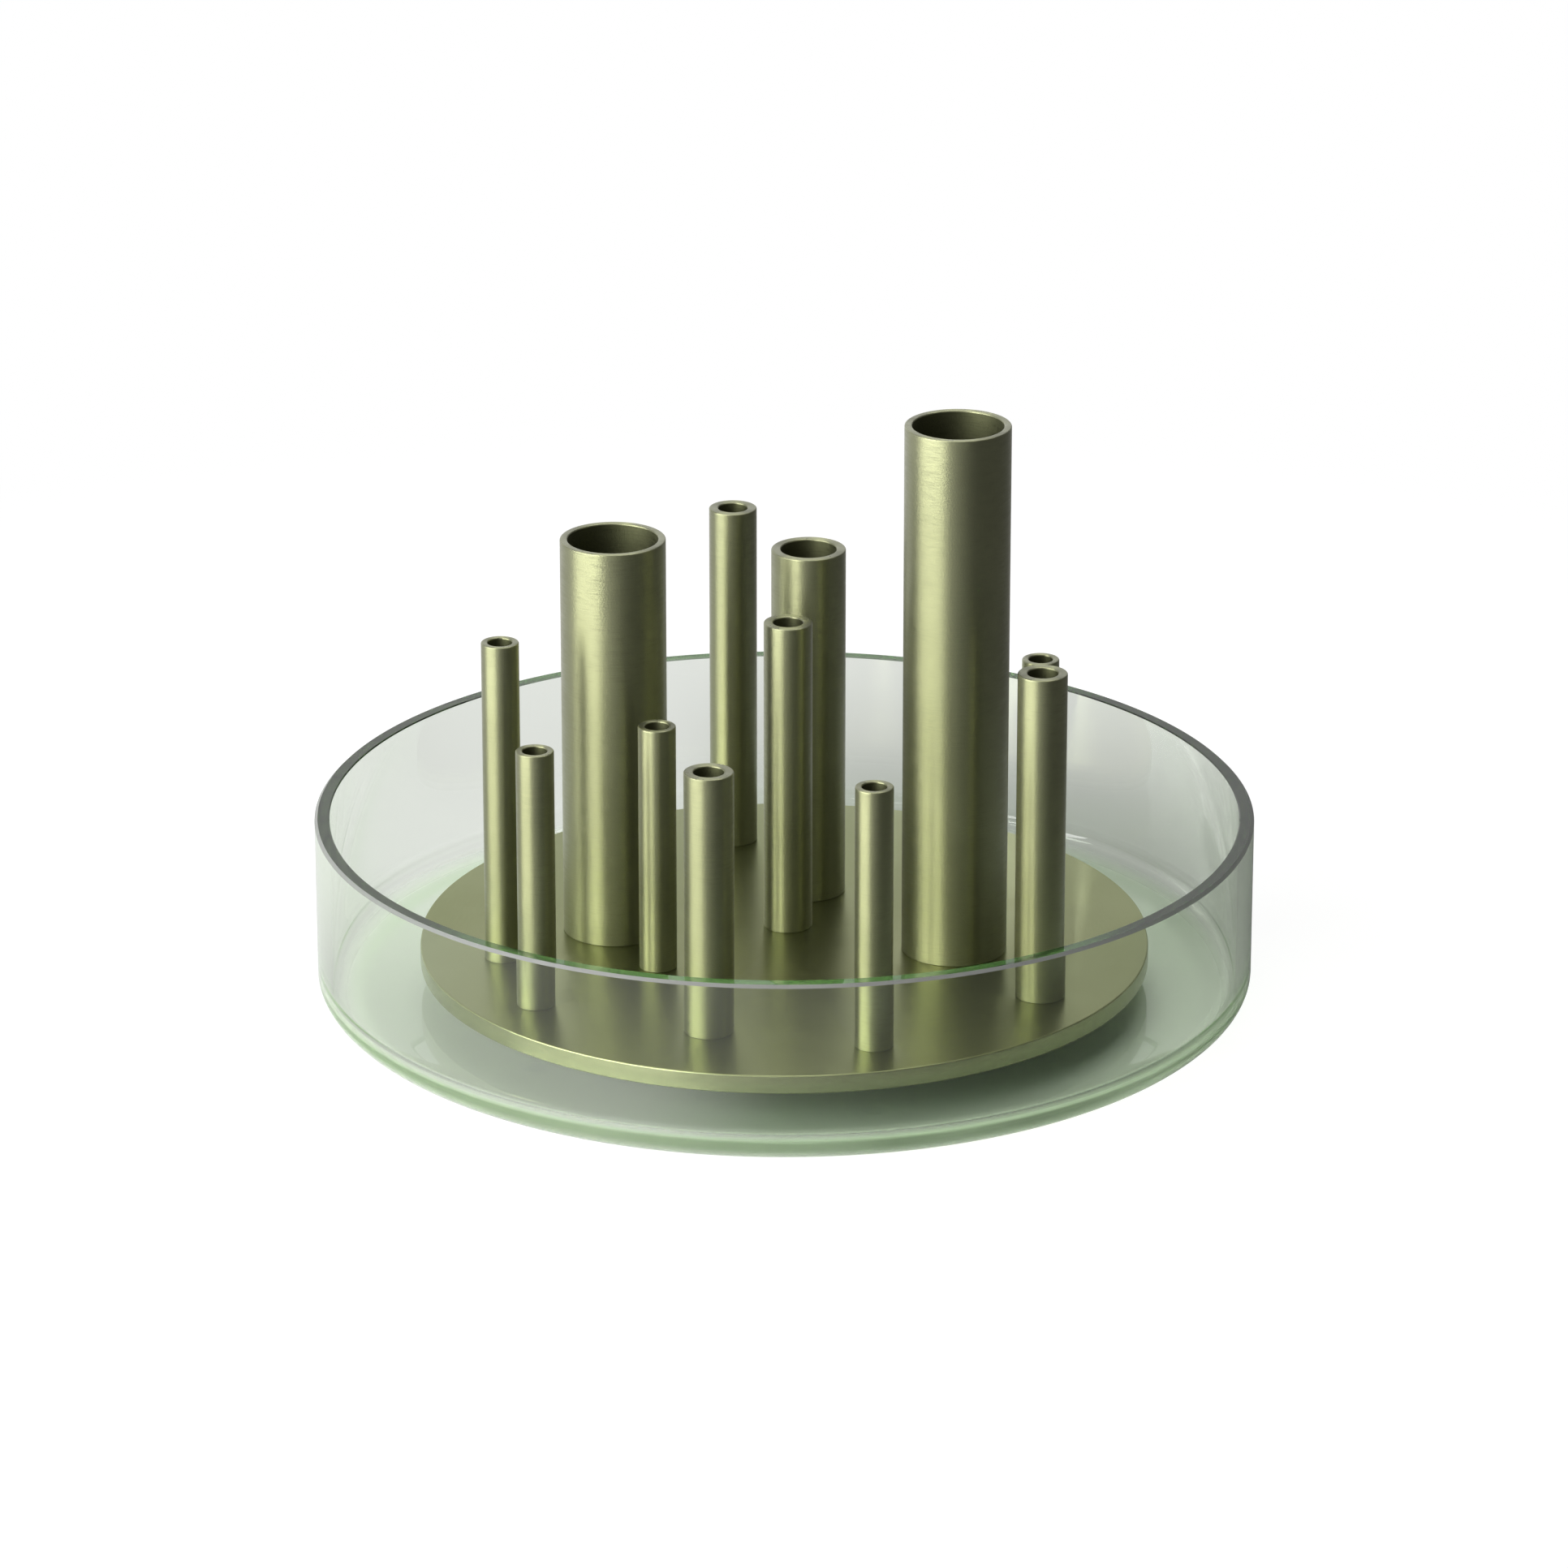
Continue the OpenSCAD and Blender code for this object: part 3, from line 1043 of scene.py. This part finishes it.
        # Painted shade: the far floor's glow dims towards one side.
        lost = board.eased(board.towards(board.direction(place), self.dim_side), self.dim_side_loss)
        pale = board.math("SUBTRACT", board.eased(parts.outputs["X"], self.beyond), lost)
        turned = board.math("MINIMUM", path.outputs["Glossy Depth"], 1.0)
        change = board.math("MULTIPLY", board.math("SUBTRACT", side_tone, pale), turned)
        beyond = board.glowing(board.math("ADD", pale, change))
        through = board.blend(board.eased(away, self.under_to_beyond), under, beyond)
        shader = board.blend(path.outputs["Is Transmission Ray"], board.glowing(side_tone), through)
        shader = board.blend(path.outputs["Is Diffuse Ray"], shader, lit)
        shader = board.blend(path.outputs["Is Camera Ray"], shader, seen)
        board.tree.links.new(shader, output.inputs["Surface"])
        floor.data.materials.append(material)

    def build_room(self, tone: bpy.types.NodeTree) -> None:
        """Sets the surroundings: white to the camera, and pale to dark from side to side in reflections.

        Args:
            tone: The group for the room's tone.
        """
        world = bpy.data.worlds.new("studio_room")
        world.use_nodes = True
        world.node_tree.nodes.clear()
        board = NodeBoard(world.node_tree)
        direction = board.add("ShaderNodeTexCoord").outputs["Generated"]
        path = board.add("ShaderNodeLightPath")
        fill = board.add("ShaderNodeBackground", {"Strength": self.fill})
        side_tone = board.add("ShaderNodeGroup", {"Direction": direction}, node_tree=tone).outputs["Tone"]
        wall_tone = board.math("MULTIPLY", side_tone, self.wall_gain)
        mirrored = board.add("ShaderNodeBackground", {"Strength": wall_tone})
        white = board.add("ShaderNodeBackground", {"Strength": 1.0})
        turned = board.math("MINIMUM", path.outputs["Glossy Depth"], 1.0)
        shader = board.blend(turned, white.outputs[0], mirrored.outputs[0])
        shader = board.blend(path.outputs["Is Diffuse Ray"], shader, fill.outputs[0])
        shader = board.blend(path.outputs["Is Camera Ray"], shader, white.outputs[0])
        output = board.add("ShaderNodeOutputWorld")
        board.tree.links.new(shader, output.inputs["Surface"])
        bpy.context.scene.world = world

    def build_camera(self) -> None:
        """Sets the camera at the photograph's angle."""
        data = bpy.data.cameras.new("camera")
        data.lens = self.camera_lens
        data.clip_end = self.camera_reach
        camera = bpy.data.objects.new("camera", data)
        back = Vector((0, -math.cos(self.camera_height), math.sin(self.camera_height)))
        camera.location = Vector(self.aim) + back * self.camera_distance
        camera.rotation_euler = (-back).to_track_quat("-Z", "Y").to_euler()
        bpy.context.scene.collection.objects.link(camera)
        bpy.context.scene.camera = camera

    def build(self) -> None:
        """Builds the whole studio."""
        self.build_camera()
        tone = self.tone_group()
        self.build_floor(tone)
        self.build_room(tone)
        self.side_lamp.build(Vector(self.aim))
        self.top_lamp.build(Vector(self.aim))
        scene = bpy.context.scene
        scene.view_settings.view_transform = "Standard"
        scene.cycles.max_bounces = self.light_turns
        scene.cycles.glossy_bounces = self.light_turns
        scene.cycles.transmission_bounces = self.light_turns
        log.info("studio: floor, room, lamps and camera")


# Build


def flower_tubes() -> list[FlowerTube]:
    """Lists the tubes, each with its bore's radius from the record.

    Returns:
        The twelve tubes.
    """
    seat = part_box("base_plate")[1].z
    mounts = frame["record"]["mounts"]
    bores = {mount["name"]: mount["dims"]["r_mm"] for mount in mounts if mount["kind"] == "bore"}
    tubes = []
    for node in sorted(name for name in frame["nodes"] if "_tube_" in name):
        bore_r = bores[node.replace("_tube_", "_") + "_socket"] / MILLIMETRES_PER_METRE
        tubes.append(FlowerTube(node, bore_r, seat))
    return tubes


def main() -> None:
    """Builds the studio and every piece."""
    logging.basicConfig(level=logging.INFO, format="%(name)s: %(message)s")
    Studio().build()
    grain = fine_grain_group()
    tube_metal = AnodisedAluminium("tube_aluminium", grain).material()
    plate_metal = AnodisedAluminium(
        "plate_aluminium", grain, plate_lines=True, tone=(0.31, 0.33, 0.16), deep_tone=(0.285, 0.305, 0.14),
        flat_roughness=0.3, stretch=0.0, coat=0.03, shine_spread=0.02, line_depth=0.000001,
        speck_depth=0.000002,
    ).material()
    # Paler copy of the plate's metal for its side, a painted highlight; its finer turned lines and lower
    # roughness are its own finish.
    edge_metal_painted_highlight = AnodisedAluminium(
        "edge_aluminium_painted_highlight", grain, tone=(0.36, 0.37, 0.215), deep_tone=(0.345, 0.355, 0.205), roughness=0.26,
        stretch=0.85, coat=0.1, shine_spread=0.015, line_gap=0.00012, line_depth=0.0000005,
        speck_depth=0.000001,
    ).material()
    # Darker copy of the metal for the bores, painted shade; the higher roughness is their own finish.
    bore_metal_painted_shade = AnodisedAluminium(
        "bore_aluminium", grain, tone=(0.1, 0.105, 0.055), deep_tone=(0.085, 0.09, 0.045), roughness=0.62,
        stretch=0.5, coat=0.1,
    ).material()
    rubber = FootRubber().material()
    steel = ScrewSteel().material()

    bowl = GlassBowl()
    bowl.dress(bowl.build(), BowlGlass())
    tubes = flower_tubes()
    for tube in tubes:
        tube.dress(tube.build(), tube_metal, bore_metal_painted_shade)
    screw_nodes = sorted(name for name in frame["nodes"] if name.startswith("screw_"))
    plate = BasePlate(tubes, screw_nodes)
    plate.dress(plate.build(), plate_metal, edge_metal_painted_highlight)
    for screw_node in screw_nodes:
        screw = FootScrew(screw_node)
        screw.dress(screw.build(), steel)
        foot = RubberFoot(screw_node.replace("screw_", "foot_"), screw)
        foot.dress(foot.build(), rubber)


if __name__ == "__main__":
    main()
